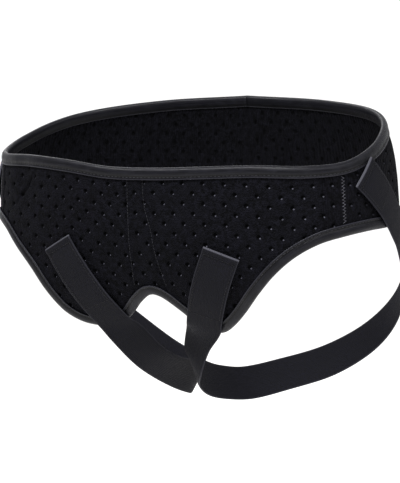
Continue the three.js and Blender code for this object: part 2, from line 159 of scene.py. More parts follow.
def slopes(arc, height):
    """How a point of the form moves along the arc and up, and the way out of the form."""
    step = SLOPE_STEP_ALONG
    along = (hip_point(arc + step, height) - hip_point(arc - step, height)) / (2 * step)
    step = SLOPE_STEP_UP
    upward = (hip_point(arc, height + step) - hip_point(arc, height - step)) / (2 * step)
    normal = np.cross(along, upward)
    return along, upward, normal / np.linalg.norm(normal, axis=-1, keepdims=True)


# %% [markdown]
# ## Hollows and creases
# A worn belt has shallow hollows where the hip bends, and a few creases. A cloth simulation could
# make them, but never these ones, so each is one soft dent, placed on the form.

# %% Soft hollows and creases of the worn cloth
# arc and height of the middle, how far it reaches along and across, how it is turned in
# degrees, and how deep it is, all in millimetres
HOLLOWS = [
    (-116, -11, 11, 20, 0, 2.5),
    (79, -105, 9, 12, 0, 1.5),
]
CREASES = [
    (-112.6, -12.7, 18, 1.7, 45, 2.1),
    (-109.4, -15.9, 17, 2.2, 45, -0.9),
    (-96, -34, 17, 3.2, -50, 0.5),
    (60, -30, 26, 4.5, 52, 0.35),
    (104, -46, 22, 4, 40, 0.4),
    (128, -30, 20, 4, 62, 0.35),
    (-40, -84, 16, 3.6, 60, 0.5),
    (36, -78, 14, 3.2, -66, 0.45),
]
print("hollows and creases:", len(HOLLOWS), "and", len(CREASES))


def bell(away, width):
    return np.exp(-((away / width) ** 2))


def dents(away, rows):
    """Depth beside a line, from rows of a place, a depth (a lift is negative) and a width."""
    return sum(deep * bell(away - place, width) for place, deep, width in rows)


def hollow_depth(arc, height, rows):
    depth = 0 * arc
    for middle, level, reach, spread, turned, deep in rows:
        c, s = math.cos(math.radians(turned)), math.sin(math.radians(turned))
        a, h = arc - middle, height - level
        depth = depth + deep * bell(a * c + h * s, reach) * bell(h * c - a * s, spread)
    return depth


def over_skin(arc, height, off, rows=HOLLOWS + CREASES):
    """A point off the form, pushed in where the rows of hollows say so."""
    *_, normal = slopes(arc, height)
    return hip_point(arc, height) + normal * (off - hollow_depth(arc, height, rows))[..., None]


# %% [markdown]
# ## The cut's edges
# The top edge dips in front and rises to the back. The lower edge runs along the leg to a lobe,
# up into the arch, down to the other lobe and back along the other leg. The two sides differ a
# little, as they do on any worn belt.

# %% Edges of the cut
# turn is the arc as a share of the half girth, and the heights are shares of the drops and the rise
top_edge = smooth_table(
    "turn  rise",
    [
        (-1, 1), (-0.8, 0.92), (-0.63, 0.73), (-0.5, 0.44), (-0.42, 0.27), (-0.35, 0.2),
        (-0.23, 0.188), (-0.14, 0.138), (-0.05, 0.055), (0.03, 0.042), (0.12, 0.06), (0.21, 0.08),
        (0.31, 0.07), (0.376, 0.12), (0.455, 0.316), (0.516, 0.49), (0.63, 0.75), (0.8, 0.92), (1, 1),
    ],
)
BAND_LOWER_EDGE = [
    (-1, 0.49), (-0.87, 0.59), (-0.75, 0.76), (-0.63, 0.92), (-0.5, 1.02), (-0.42, 1.02),
    (0.42, 1.12), (0.5, 1.07), (0.63, 0.92), (0.75, 0.76), (0.87, 0.59), (1, 0.49),
]
PANEL_LOWER_EDGE = [
    (-0.36, 0.342), (-0.315, 0.395), (-0.276, 0.506), (-0.237, 0.635), (-0.206, 0.783),
    (-0.179, 0.898), (-0.151, 0.961), (-0.115, 0.988), (-0.08, 0.975), (-0.052, 0.912),
    (-0.022, 0.815), (0.004, 0.762), (0.025, 0.779), (0.053, 0.858), (0.083, 0.958), (0.108, 1),
    (0.131, 0.997), (0.151, 0.953), (0.177, 0.868), (0.205, 0.751), (0.238, 0.623), (0.274, 0.517),
    (0.318, 0.435), (0.364, 0.392),
]
lower_edge = smooth_table(
    "turn  height",
    [(t, -d * BAND_DROP) for t, d in BAND_LOWER_EDGE if t < 0]
    + [(t, -d * LOBE_DROP) for t, d in PANEL_LOWER_EDGE]
    + [(t, -d * BAND_DROP) for t, d in BAND_LOWER_EDGE if t > 0],
)


def top_height(arc):
    return top_edge(arc / HALF_GIRTH)["rise"] * BACK_RISE


def low_height(arc):
    return lower_edge(arc / HALF_GIRTH)["height"]


print("top and lower edge at the centre, mm:", float(top_height(0.0)), float(low_height(0.0)))


# %% [markdown]
# ## Jigs: from the flat table to the body
# A jig takes a place on the table (along, across, up, in millimetres) to its place on the body.
# The cloth's jig is the form itself. A path's jig follows a line on the cloth, such as an edge or
# a seam, so tape and stitches are made in straight rows and bend with the line that they follow.

# %% The jigs
def cloth_jig(flat):
    return over_skin(flat[:, 0], flat[:, 1], flat[:, 2])


def square_rates(arc, height, direction):
    """How arc and height change for a millimetre across a direction, to the left of it."""
    along, upward, normal = slopes(arc, height)
    way = np.cross(normal, direction)
    way /= np.linalg.norm(way, axis=-1, keepdims=True)
    aa, au, uu = (np.sum(p * q, -1) for p, q in ((along, along), (along, upward), (upward, upward)))
    wa, wu = np.sum(way * along, -1), np.sum(way * upward, -1)
    size = aa * uu - au * au
    return (wa * uu - wu * au) / size, (wu * aa - wa * au) / size


class PathJig:
    """Follows a line on the cloth. length is how long the line is."""

    def __init__(self, arcs, heights):
        points = over_skin(arcs, heights, 0 * arcs)
        steps = np.linalg.norm(np.diff(points, axis=0), axis=1)
        self.reached = np.concatenate([[0], np.cumsum(steps)])
        self.length = self.reached[-1]
        self.arcs, self.heights = arcs, heights
        self.rates = square_rates(arcs, heights, np.gradient(points, axis=0))

    def place(self, along, across):
        """arc and height of a place beside the line, never past the centre of the back"""
        read = lambda values: np.interp(along, self.reached, values)
        arc = read(self.arcs) + read(self.rates[0]) * across
        height = read(self.heights) + read(self.rates[1]) * across
        return np.clip(arc, -HALF_GIRTH, HALF_GIRTH), height

    def __call__(self, flat):
        arc, height = self.place(flat[:, 0], flat[:, 1])
        return over_skin(arc, height, flat[:, 2])


EDGE_POINTS = 4000
# the ends of an edge's tape are cut upright, so that they meet at the centre of the back
UPRIGHT_OVER = 12
edge_arcs = np.linspace(-HALF_GIRTH, HALF_GIRTH, EDGE_POINTS)
top_jig = PathJig(edge_arcs, top_height(edge_arcs))
low_jig = PathJig(edge_arcs, low_height(edge_arcs))
for jig in (top_jig, low_jig):
    lean = np.clip((HALF_GIRTH - np.abs(edge_arcs)) / UPRIGHT_OVER, 0, 1)
    jig.rates = (jig.rates[0] * lean, jig.rates[1])
print("top and lower binding, mm:", round(top_jig.length), round(low_jig.length))


# %% [markdown]
# ## Tools of the table
# A piece starts as one of Blender's primitives on the table, is shaped there, and is then put on
# the body. Its table coordinates stay with it as an attribute, which the materials read, so a
# weave keeps its real size and follows the cloth.

# %% Picking a piece, and its points
def deselect_all():
    if bpy.context.object and bpy.context.object.mode != "OBJECT":
        bpy.ops.object.mode_set(mode="OBJECT")
    bpy.ops.object.select_all(action="DESELECT")


def pick(piece):
    deselect_all()
    piece.select_set(True)
    bpy.context.view_layer.objects.active = piece


def get_points(piece):
    flat = np.empty(3 * len(piece.data.vertices))
    piece.data.vertices.foreach_get("co", flat)
    return flat.reshape(-1, 3)


def set_points(piece, points):
    piece.data.vertices.foreach_set("co", np.ascontiguousarray(points, float).ravel())
    piece.data.update()


def keep_values(piece, name, values):
    """Stores one number for each vertex, for a material to read."""
    piece.data.attributes.new(name, "FLOAT", "POINT").data.foreach_set("value", values)


# %% Sheets, walls and laying on
def sheet_on_table(name, columns, rows):
    """A grid from 0 to 1 both ways, ready to be cut."""
    deselect_all()
    bpy.ops.mesh.primitive_grid_add(
        x_subdivisions=columns, y_subdivisions=rows, size=1, location=(0.5, 0.5, 0)
    )
    piece = bpy.context.object
    piece.name = piece.data.name = name
    bpy.ops.object.transform_apply(location=True, rotation=True, scale=True)
    return piece


def give_thickness(piece, wall):
    """Pulls the sheet up into a closed slab, with its underside left on the table."""
    pick(piece)
    bpy.ops.object.mode_set(mode="EDIT")
    bpy.ops.mesh.select_all(action="SELECT")
    bpy.ops.mesh.flip_normals()
    bpy.ops.mesh.extrude_region_move(TRANSFORM_OT_translate={"value": (0, 0, wall)})
    bpy.ops.mesh.select_all(action="SELECT")
    bpy.ops.mesh.normals_make_consistent(inside=False)
    bpy.ops.object.mode_set(mode="OBJECT")


def put_on(piece, jig, material, angle=40):
    """Lays a flat piece on the body, keeps its table coordinates, and finishes it."""
    flat = get_points(piece)
    cut = piece.data.attributes.new("cut", "FLOAT_VECTOR", "POINT")
    cut.data.foreach_set("vector", flat.ravel())
    set_points(piece, jig(flat) / 1000)
    pick(piece)
    bpy.ops.object.shade_smooth_by_angle(angle=math.radians(angle))
    piece.data.materials.clear()
    piece.data.materials.append(material)
    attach(piece, "root")
    return piece


# %% [markdown]
# ## Finishes
# Every finish is black cloth, so what sets them apart is how they take the light: the knit is
# matte with a soft fuzz, satin tape shines in a band, elastic is smooth with fine ribs, and
# thread is a little lighter than what it holds. Pictures of cloth could be laid on, but they
# repeat and blur, so each finish is a few patterns with real sizes. Scale counts patterns for a
# millimetre of the table.

# %% Node helper and colours
SOFT = {"interpolation_type": "SMOOTHSTEP"}


def linear(hex_colour):
    parts = [int(hex_colour[i : i + 2], 16) / 255 for i in (1, 3, 5)]
    return [c / 12.92 if c <= 0.04045 else ((c + 0.055) / 1.055) ** 2.4 for c in parts] + [1]


def node(material, kind, settings=(), **inputs):
    """Adds a node. An input's key is its name, or i and its number. Its value is a socket, a
    node whose first output in use is taken, a hex colour, or a plain value."""
    made = material.node_tree.nodes.new("ShaderNode" + kind)
    for key, value in dict(settings).items():
        setattr(made, key, value)
    for key, value in inputs.items():
        socket = made.inputs[int(key[1:]) if key[1:].isdigit() else key.replace("_", " ")]
        if isinstance(value, bpy.types.Node):
            value = next(output for output in value.outputs if output.enabled)
        if isinstance(value, bpy.types.NodeSocket):
            material.node_tree.links.new(value, socket)
        else:
            socket.default_value = linear(value) if isinstance(value, str) else value
    return made


def new_material(name):
    material = bpy.data.materials.new(name)
    material.use_nodes = True
    material.node_tree.nodes.clear()
    return material


# %% What the cloths share: tints, waves, relief and the last layer
def tint(material, colour, added, pattern, low, high, most=1.0):
    """Lets a colour in over another as a pattern goes from low to high, up to a share."""
    share = node(material, "MapRange", SOFT, Value=pattern, From_Min=low, From_Max=high, To_Max=most)
    return node(material, "Mix", {"data_type": "RGBA"}, i0=share, i6=colour, i7=added)


def waves(material, along, step):
    """Ribs as a sine wave, a step in millimetres apart."""
    turned = node(material, "Math", {"operation": "MULTIPLY"}, i0=along, i1=2 * math.pi / step)
    return node(material, "Math", {"operation": "SINE"}, i0=turned)


def relief(material, height, *layers):
    """Adds patterns to a height, each with its own share."""
    for pattern, share in layers:
        height = node(material, "Math", {"operation": "MULTIPLY_ADD"}, i0=pattern, i1=share, i2=height)
    return height


def finish_cloth(material, colour, rough, height, depth, sheen, specular, **more):
    """Joins the colour, a roughness that follows a pattern between two values, and a bump of
    real depth in millimetres."""
    pattern, least, most = rough
    roughness = node(
        material, "MapRange", SOFT, Value=pattern, From_Min=0.3, From_Max=0.7, To_Min=least, To_Max=most
    )
    bump = node(material, "Bump", Strength=1.0, Distance=depth / 1000, Height=height)
    shader = node(
        material, "BsdfPrincipled", Base_Color=colour, Roughness=roughness, Sheen_Weight=sheen,
        Sheen_Roughness=0.5, Specular_IOR_Level=specular, IOR=1.5, Normal=bump, **more,
    )
    node(material, "OutputMaterial", Surface=shader)
    return material


# %% [markdown]
# ## The perforations
# Foam-backed knit is punched with rows of small holes so that it breathes, and each second row is
# moved by half a step. A thin lining closes them from within, so each is a small pit. A bump
# would give no shadow at this size, so the pits are modelled. The three sections of the panel are
# cut from cloth that lay differently, and the left one is drawn wider where it rounds the hip, so
# the centres are listed first, section by section.

# %% Seams that shape the panel: arc at a height, from the lobes up
pocket_left = smooth_table(
    "height  arc", [(-92, -11.4), (-75.5, -9.5), (-63, -8.9), (-47, -7.6), (-22, -6.6), (2, -6.5)]
)
pocket_right = smooth_table(
    "height  arc", [(-92, 19.2), (-78, 16.1), (-62, 13.5), (-44, 12), (-28, 8.4), (-6, 7), (2, 6.6)]
)
print("width between the seams at the top, mm:", float(pocket_right(0.0)["arc"] - pocket_left(0.0)["arc"]))

# %% Centres of the holes
HOLE_ROW_STEP = 16.15
# columns of holes on either side of the left shaping seam, numbered away from it: the arc where
# each stands, the height of one of its holes, and how far it leans to a greater arc for each
# millimetre down from LEAN_LEVEL
right_columns = smooth_table(
    "number  arc  level  lean",
    [
        (-1, -8.2, -15.7, 0), (0, 0.1, -15.7, 0), (6, 49.8, -15.9, 0), (8, 66.9, -16.4, 0),
        (10, 83.8, -17, 0), (12, 101, -18, 0), (14, 119.2, -19.3, 0), (16, 137, -19.1, 0),
        (18, 152.8, -17.8, 0), (21, 177.5, -17.5, 0), (60, 498, -17.5, 0),
    ],
)
left_columns = smooth_table(
    "number  arc  level  lean",
    [
        (0, -6.9, -25.5, 0.07), (2, -21.8, -25.5, 0.06), (4, -36.5, -24.5, 0.04),
        (6, -52.3, -22.3, 0.02), (7, -60, -21.2, 0), (9, -75.7, -21, 0), (11, -92.3, -21, 0),
        (13, -110.6, -21, 0), (15, -132.7, -20, 0), (18, -164, -20, 0), (60, -512, -20, 0),
    ],
)
# more columns and rows than the belt holds, for the outline to choose from
LAST_COLUMN, ROWS = 60, range(-6, 10)
LEAN_LEVEL, CLEAR_OF_SEAM = -40, 1


def hole_centres(start, stop):
    """Centres of the holes between two arcs, in rows of arc and height."""
    found = []
    for columns, first, way in ((left_columns, 0, -1), (right_columns, -1, 1)):
        for number in range(first, LAST_COLUMN):
            column = {name: float(value) for name, value in columns(float(number)).items()}
            for row in ROWS:
                height = column["level"] - HOLE_ROW_STEP * (row + number % 2 / 2)
                arc = column["arc"] - column["lean"] * (height - LEAN_LEVEL)
                if way * (arc - pocket_left(height)["arc"]) > CLEAR_OF_SEAM:
                    found.append((arc, height))
    found = np.array(found)
    inside = (found[:, 0] > start) & (found[:, 0] < stop)
    inside &= (found[:, 1] > low_height(found[:, 0])) & (found[:, 1] < top_height(found[:, 0]))
    return found[inside]


PIT_RADIUS, PIT_DEPTH = 1.2, 1.4
# painted highlight: each hole gets a pale spot beside it, moved by this shift from its centre, where its
# rim would catch the light
PIT_HIGHLIGHT_SHIFT = (0.95, -0.85)
print("holes of the panel and the bands:", len(hole_centres(-HALF_GIRTH, HALF_GIRTH)))


# %% [markdown]
# ## Foam-backed knit
# The cloth of the belt is a looped knit bonded to thin foam. Its loops break up the light, so it is
# matte and a little blue. Each pit and its sunken rim are darkened with painted shade, and a painted
# highlight sits beside each pit on one side. These colours read how far each vertex is from its hole
# and from its highlight, which keeps them on the pits however the cloth is laid.

# %% The two knits
# the loops are 0.7 mm, drawn at 1.3 mm because finer ones would not show
LOOPS_PER_MM = 0.75
RIB_STEP, RIB_FADE = 3.6, 6


def knit_material(name, rib_from, pit_highlight_colour):
    material = new_material(name)
    cut = node(material, "Attribute", {"attribute_name": "cut"}).outputs["Vector"]
    from_hole = node(material, "Attribute", {"attribute_name": "from_hole"}).outputs["Fac"]
    from_pit_highlight = node(material, "Attribute", {"attribute_name": "from_pit_highlight"}).outputs["Fac"]
    loops = node(material, "TexVoronoi", Vector=cut, Scale=LOOPS_PER_MM, Randomness=0.9)
    loop_height = node(material, "MapRange", SOFT, Value=loops, From_Min=0.8, From_Max=0.0)
    grain = node(material, "TexNoise", Vector=cut, Scale=0.34, Detail=3.0, Roughness=0.7)
    mottle = node(material, "TexNoise", Vector=cut, Scale=0.06, Detail=3.0, Roughness=0.55)
    # elastic yarns draw the cloth into ribs, from the side seams back
    arc = node(material, "SeparateXYZ", Vector=cut).outputs["X"]
    from_front = node(material, "Math", {"operation": "ABSOLUTE"}, i0=arc)
    rib_depth = node(
        material, "MapRange", SOFT, Value=from_front, From_Min=rib_from, From_Max=rib_from + RIB_FADE,
        To_Max=1.1,
    )
    ribs = waves(material, arc, RIB_STEP)
    height = relief(material, loop_height, (grain, 2.4), (ribs, rib_depth))
    colour = tint(material, "#030305", "#131319", grain, 0.35, 0.68)
    colour = tint(material, colour, "#0f0f14", mottle, 0.4, 0.7, 0.5)
    # painted shade: the pit and its sunken rim darken towards the hole, as shade in the recess
    colour = tint(material, colour, "#010102", from_hole, PIT_RADIUS + 1.1, PIT_RADIUS + 0.3, 0.9)
    # painted highlight: a pale spot beside each pit, where its rim would catch the light
    colour = tint(material, colour, pit_highlight_colour, from_pit_highlight, 1.0, 0.45)
    return finish_cloth(
        material, colour, (grain, 0.7, 0.9), height, 0.7, sheen=0.008, specular=0.06,
        Sheen_Tint="#9d9dac",
    )


panel_knit = knit_material("foam_backed_knit", rib_from=146, pit_highlight_colour="#4b4b53")
band_knit = knit_material("elastic_rib_knit", rib_from=100, pit_highlight_colour="#33333a")
print("knits:", panel_knit.name, band_knit.name)


# %% [markdown]
# ## Satin tape
# Satin is woven with long floats that lie side by side, so it shines in a band where it turns. The
# shine comes from a low roughness and from streaks along the tape, over a fine cross rib.

# %% The satin tape
# the ribs are 0.5 mm apart on the real tape, and drawn coarser so that they show
SATIN_RIB_STEP = 0.9


def satin_material():
    material = new_material("satin_binding_tape")
    cut = node(material, "Attribute", {"attribute_name": "cut"}).outputs["Vector"]
    parts = node(material, "SeparateXYZ", Vector=cut)
    ribs = waves(material, parts.outputs["X"], SATIN_RIB_STEP)
    drawn = node(material, "VectorMath", {"operation": "MULTIPLY"}, i0=cut, i1=(0.06, 1.6, 1))
    streaks = node(material, "TexNoise", Vector=drawn, Scale=1.0, Detail=3.0, Roughness=0.6)
    wear = node(material, "TexNoise", Vector=cut, Scale=0.12, Roughness=0.6)
    height = relief(material, streaks, (ribs, 0.35))
    colour = tint(material, "#060609", "#131319", streaks, 0.3, 0.7)
    colour = tint(material, colour, "#1e1e24", wear, 0.5, 0.75, 0.35)
    # painted shade darkens the groove where the stitches pull the tape in, and a painted highlight
    # lightens its turned edge beyond them
    deep = node(material, "Math", {"operation": "ABSOLUTE"}, i0=parts.outputs["Y"])
    past = node(material, "MapRange", SOFT, Value=deep, From_Min=6.9, From_Max=7.5)
    groove = node(material, "MapRange", SOFT, Value=deep, From_Min=4.7, From_Max=5.8)
    groove = node(material, "Math", {"operation": "SUBTRACT"}, i0=groove, i1=past)
    share = node(material, "Math", {"operation": "MULTIPLY"}, i0=groove, i1=0.85)
    colour = node(material, "Mix", {"data_type": "RGBA"}, i0=share, i6=colour, i7="#020203")
    # painted highlight on the tape's turned edge, where it would catch the light
    colour = tint(material, colour, "#26262d", deep, 7.2, 8.0, 0.6)
    return finish_cloth(
        material, colour, (wear, 0.3, 0.42), height, 0.12, sheen=0.01, specular=0.17,
        Sheen_Tint="#a5a5b0",
    )


satin_tape = satin_material()
print("tape:", satin_tape.name)


# %% [markdown]
# ## Woven elastic
# The straps are woven with rubber yarns along them, which stand as flat ribs and are crossed by a
# fine weft. Both are sine waves on the strap's own coordinates, so that they follow it round the
# leg. The selvedge and the turned ends get a painted highlight, lighter where their edges would
# catch the light.

# %% The woven elastic
# both are drawn twice as coarse as on the real strap
ELASTIC_RIB_STEP, WEFT_STEP = 1.5, 1.0


def elastic_material(name, half_width):
    material = new_material(name)
    cut = node(material, "Attribute", {"attribute_name": "cut"}).outputs["Vector"]
    parts = node(material, "SeparateXYZ", Vector=cut)
    ribs = waves(material, parts.outputs["Y"], ELASTIC_RIB_STEP)
    weft = waves(material, parts.outputs["X"], WEFT_STEP)
    weave = node(material, "Math", {"operation": "MULTIPLY"}, i0=ribs, i1=weft)
    fuzz = node(material, "TexNoise", Vector=cut, Scale=0.5, Detail=3.0, Roughness=0.65)
    mottle = node(material, "TexNoise", Vector=cut, Scale=0.05)
    height = relief(material, 0.0, (weave, 0.5), (ribs, 0.35), (fuzz, 0.7))
    from_middle = node(material, "Math", {"operation": "ABSOLUTE"}, i0=parts.outputs["Y"])
    colour = tint(material, "#08080c", "#14141b", fuzz, 0.3, 0.7)
    colour = tint(material, colour, "#0e0e13", mottle, 0.4, 0.65, 0.5)
    # painted highlight along both selvedges, where the round edge would catch the light
    colour = tint(material, colour, "#2e2e34", from_middle, half_width - 1.1, half_width - 0.3, 0.5)
    # painted highlight on the turned ends, where the fold would catch the light
    colour = tint(material, colour, "#4b4b51", parts.outputs["X"], 1.6, 0.5, 0.7)
    return finish_cloth(
        material, colour, (fuzz, 0.6, 0.8), height, 0.22, sheen=0.012, specular=0.12,
        Sheen_Tint="#9a9aa6",
    )


strap_elastic = elastic_material("strap_elastic", STRAP_WIDTH / 2)
print("elastic:", strap_elastic.name)


# %% [markdown]
# ## Hook tape and thread
# Hook tape is a woven ground with dense rows of small nylon hooks. It lies hidden under the strap
# ends, so the hooks are a pattern of cells in the bump, 1.6 mm apart. Polyester thread is two
# plies twisted together, which catch the light more than the cloth and show as a slanted wave.

# %% The hook tape
def hook_material():
    material = new_material("nylon_hook_tape")
    place = node(material, "TexCoord").outputs["Object"]
    # the pattern is on Object coordinates, so the scales count for a metre here
    hooks = node(material, "TexVoronoi", Vector=place, Scale=620.0, Randomness=0.25)
    grain = node(material, "TexNoise", Vector=place, Scale=300.0)
    height = node(material, "MapRange", SOFT, Value=hooks, From_Min=0.5, From_Max=0.1)
    colour = tint(material, "#0c0c0e", "#1e1e22", hooks, 0.5, 0.1)
    return finish_cloth(material, colour, (grain, 0.45, 0.7), height, 0.5, sheen=0.01, specular=0.15)


nylon_hooks = hook_material()


# %% The threads
TWIST_STEP = 0.6


def thread_material(name, dark, light):
    material = new_material(name)
    cut = node(material, "Attribute", {"attribute_name": "cut"}).outputs["Vector"]
    parts = node(material, "SeparateXYZ", Vector=cut)
    slanted = node(
        material, "Math", {"operation": "ADD"}, i0=parts.outputs["X"], i1=parts.outputs["Y"]
    )
    twist = waves(material, slanted, TWIST_STEP)
    tone = node(material, "TexNoise", Vector=cut, Scale=0.3)
    colour = tint(material, dark, light, tone, 0.3, 0.7)
    return finish_cloth(material, colour, (tone, 0.5, 0.5), twist, 0.06, sheen=0.02, specular=0.3)


seam_thread = thread_material("polyester_thread", "#2c2c31", "#424249")
edge_thread = thread_material("polyester_edge_thread", "#1d1d21", "#2d2d33")
strap_thread = thread_material("polyester_strap_thread", "#070709", "#121215")
print("hooks and threads:", [m.name for m in (nylon_hooks, seam_thread, edge_thread, strap_thread)])


# %% [markdown]
# ## Front panel
# The panel is one layer of foam-backed knit. It is cut from a punched sheet, given its thickness,
# pressed along the seams that shape it over the groin, and laid on the form. Each seam is lapped:
# its upper layer ends in a small step, with a groove before it where the stitches pull.

# %% How the seams press the cloth
SIDE_STITCHES = 171
# rows for dents(): beside a shaping seam, and by how far the cloth lies from the middle of the front
SHAPING_DENTS = [(-1.0, 0.7, 0.9), (0.9, -0.55, 1.1), (-3.6, -0.15, 1.8)]
SIDE_DENTS = [(154, 0.5, 1.8), (157, -0.35, 1.6), (SIDE_STITCHES, 0.4, 1.6)]
print("deepest press of a shaping seam, mm:", max(deep for place, deep, width in SHAPING_DENTS))


def seam_dent(arc, height):
    """How far the shaping seams and the pressed side lines pull the cloth in, or lift it."""
    shaping = sum(dents(arc - seam(height)["arc"], SHAPING_DENTS) for seam in (pocket_left, pocket_right))
    return shaping + dents(np.abs(arc), SIDE_DENTS)


# %% The cut line
# the cut line runs a little inside the fold of the tape
INSIDE_FOLD = 0.7
CUT_LINE_STEP, END_POINTS = 0.5, 80


def outline_points(start, stop):
    """The cut line of a piece: its lower edge, one end, its top edge and the other end."""
    run = np.linspace(start, stop, round((stop - start) / CUT_LINE_STEP))
    low = np.column_stack([run, low_height(run) + INSIDE_FOLD])
    top = np.column_stack([run, top_height(run) - INSIDE_FOLD])
    ends = []
    for arc in (stop, start):
        heights = np.linspace(low_height(arc) + INSIDE_FOLD, top_height(arc) - INSIDE_FOLD, END_POINTS)
        ends.append(np.column_stack([np.full(END_POINTS, arc), heights]))
    return np.concatenate([low, ends[0], top[::-1], ends[1][::-1]])


# %% Points near a line, and a sheet's own edge
def to_nearest(points, line, batch=2000):
    """The nearest point of a line to each point, and how far it is."""
    found, away = np.empty_like(points), np.empty(len(points))
    for first in range(0, len(points), batch):
        some = points[first : first + batch]
        gaps = np.linalg.norm(some[:, None] - line[None], axis=-1)
        k = gaps.argmin(1)
        found[first : first + batch] = line[k]
        away[first : first + batch] = gaps[np.arange(len(some)), k]
    return found, away


def delete_points(piece, chosen):
    pick(piece)
    bpy.context.tool_settings.mesh_select_mode = (True, False, False)
    bpy.ops.object.mode_set(mode="EDIT")
    bpy.ops.mesh.select_all(action="DESELECT")
    bpy.ops.object.mode_set(mode="OBJECT")
    piece.data.vertices.foreach_set("select", chosen)
    bpy.ops.object.mode_set(mode="EDIT")
    bpy.ops.mesh.delete(type="VERT")
    bpy.ops.object.mode_set(mode="OBJECT")


def edge_vertices(piece):
    """Marks the vertices on an open edge of the sheet."""
    used = np.zeros(len(piece.data.edges), int)
    loops = np.empty(len(piece.data.loops), int)
    piece.data.loops.foreach_get("edge_index", loops)
    np.add.at(used, loops, 1)
    ends = np.empty(2 * len(used), int)
    piece.data.edges.foreach_get("vertices", ends)
    marked = np.zeros(len(piece.data.vertices), bool)
    marked[ends.reshape(-1, 2)[used == 1].ravel()] = True
    return marked


# %% Punch the sheet: draw its grid to the holes
CELL = 1.15
# for each ring of the grid round a hole: its radius, and how fully it is drawn to it
RINGS = [(0, 1), (PIT_RADIUS, 1), (PIT_RADIUS + 0.45, 1), (3, 0.8)]
OUTER_SHARE = 0.4


def draw_to_holes(number, flat, centres, corner):
    """Moves the grid round each hole so that a vertex is its middle and rings run round it."""
    reach = len(RINGS)
    for centre in centres:
        i, j = np.round((centre - corner) / CELL).astype(int)
        shift = centre - flat[number[j, i]]
        for dj in range(-reach, reach + 1):
            for di in range(-reach, reach + 1):
                if not (0 <= j + dj < number.shape[0] and 0 <= i + di < number.shape[1]):
                    continue
                vertex, ring = number[j + dj, i + di], max(abs(di), abs(dj))
                if ring == reach:
                    flat[vertex] += shift * OUTER_SHARE
                    continue
                radius, share = RINGS[ring]
                way = np.array([di, dj]) / max(math.hypot(di, dj), 1)
                plain = corner + np.array([i + di, j + dj]) * CELL
                flat[vertex] = plain + (centre + way * radius - plain) * share


# %% Cut a piece out of the punched sheet
# how far the sheet reaches past the piece, and how far from the edges its own vertices stop
MARGIN_ALONG, MARGIN_UP = 1, 2
CLEAR_OF_ENDS, CLEAR_OF_EDGES = 0.3, 0.9


def punched_sheet(name, start, stop):
    """The flat sheet, cut to its outline, and the centres of its holes."""
    corner = np.array([start - MARGIN_ALONG, -LOBE_DROP - MARGIN_UP])
    columns = math.ceil((stop + MARGIN_ALONG - corner[0]) / CELL)
    rows = math.ceil((BACK_RISE + MARGIN_UP - corner[1]) / CELL)
    sheet = sheet_on_table(name, columns, rows)
    unit = get_points(sheet)
    i, j = np.round(unit[:, 0] * columns).astype(int), np.round(unit[:, 1] * rows).astype(int)
    number = np.empty((rows + 1, columns + 1), int)
    number[j, i] = np.arange(len(unit))
    grid = corner + np.stack([i, j], -1) * CELL
    arc, height = grid[:, 0].copy(), grid[:, 1].copy()
    inside = (arc > start + CLEAR_OF_ENDS) & (arc < stop - CLEAR_OF_ENDS)
    inside &= height > low_height(arc) + CLEAR_OF_EDGES
    inside &= height < top_height(arc) - CLEAR_OF_EDGES

    cut_line = outline_points(start, stop)
    centres = hole_centres(start, stop)
    centres = centres[to_nearest(centres, cut_line)[1] > TAPE_LEG - 1]
    draw_to_holes(number, grid, centres, corner)
    set_points(sheet, np.column_stack([grid, 0 * arc]))
    delete_points(sheet, ~inside)
    flat = get_points(sheet)
    border = edge_vertices(sheet)
    flat[border, :2] = to_nearest(flat[border, :2], cut_line)[0]
    set_points(sheet, flat)
    return sheet, centres


# %% Thicken, press and lay a piece of cloth
RIM_SINK, RIM_SPREAD = 0.45, 1.5
SWELL, SWELL_SPREAD = 0.25, 4
TAPE_PRESS, TAPE_PRESS_SPREAD = 0.25, 2
# the inner face is pushed out a little under each hole
INNER_PIT, INNER_RIM = 0.6, 0.2
# the inner face gets no painted highlight, so it counts as this far from any
FAR_FROM_PIT_HIGHLIGHT = 9


def cut_cloth(name, start, stop, material):
    piece, centres = punched_sheet(name, start, stop)
    give_thickness(piece, PANEL_WALL)
    flat = get_points(piece)
    arc, height = flat[:, 0].copy(), flat[:, 1].copy()
    away = to_nearest(flat[:, :2], centres)[1]
    room = np.minimum(top_height(arc) - height, height - low_height(arc))
    # each hole is a pit with a sunken rim, and the cloth swells softly between them
    in_pit = away < PIT_RADIUS + 0.2
    rim = bell(away - PIT_RADIUS, RIM_SPREAD)
    outer = flat[:, 2] > PANEL_WALL / 2
    sunk = np.where(in_pit, PIT_DEPTH, RIM_SINK * rim) + SWELL * bell(away, SWELL_SPREAD)
    sunk += TAPE_PRESS * bell(room - TAPE_LEG, TAPE_PRESS_SPREAD) + seam_dent(arc, height)
    flat[outer, 2] -= sunk[outer]
    flat[~outer, 2] += np.where(in_pit, INNER_PIT, INNER_RIM * rim)[~outer]
    flat[:, 2] += PANEL_IN
    set_points(piece, flat)
    put_on(piece, cloth_jig, material, angle=50)
    # how far each vertex is from the painted highlight beside its hole
    from_pit_highlight = to_nearest(np.column_stack([arc, height]), centres + PIT_HIGHLIGHT_SHIFT)[1]
    keep_values(piece, "from_hole", away)
    keep_values(piece, "from_pit_highlight", np.where(outer, from_pit_highlight, FAR_FROM_PIT_HIGHLIGHT))
    print(name, "faces:", len(piece.data.polygons), "holes:", len(centres))
    return piece


# %% Cut and lay the panel
panel_end = SIDE_SEAM_TO_CENTRE - GAP / 2
panel = cut_cloth("front_panel_cloth", -panel_end, panel_end, panel_knit)
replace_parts(panel, "front_panel")

# %% [markdown]
# ## Back band
# From the side seams back, the belt is an elastic rib knit that is punched in the same grid. It
# is cut the same way, and its material draws the ribs, which are too shallow to be worth a mesh.

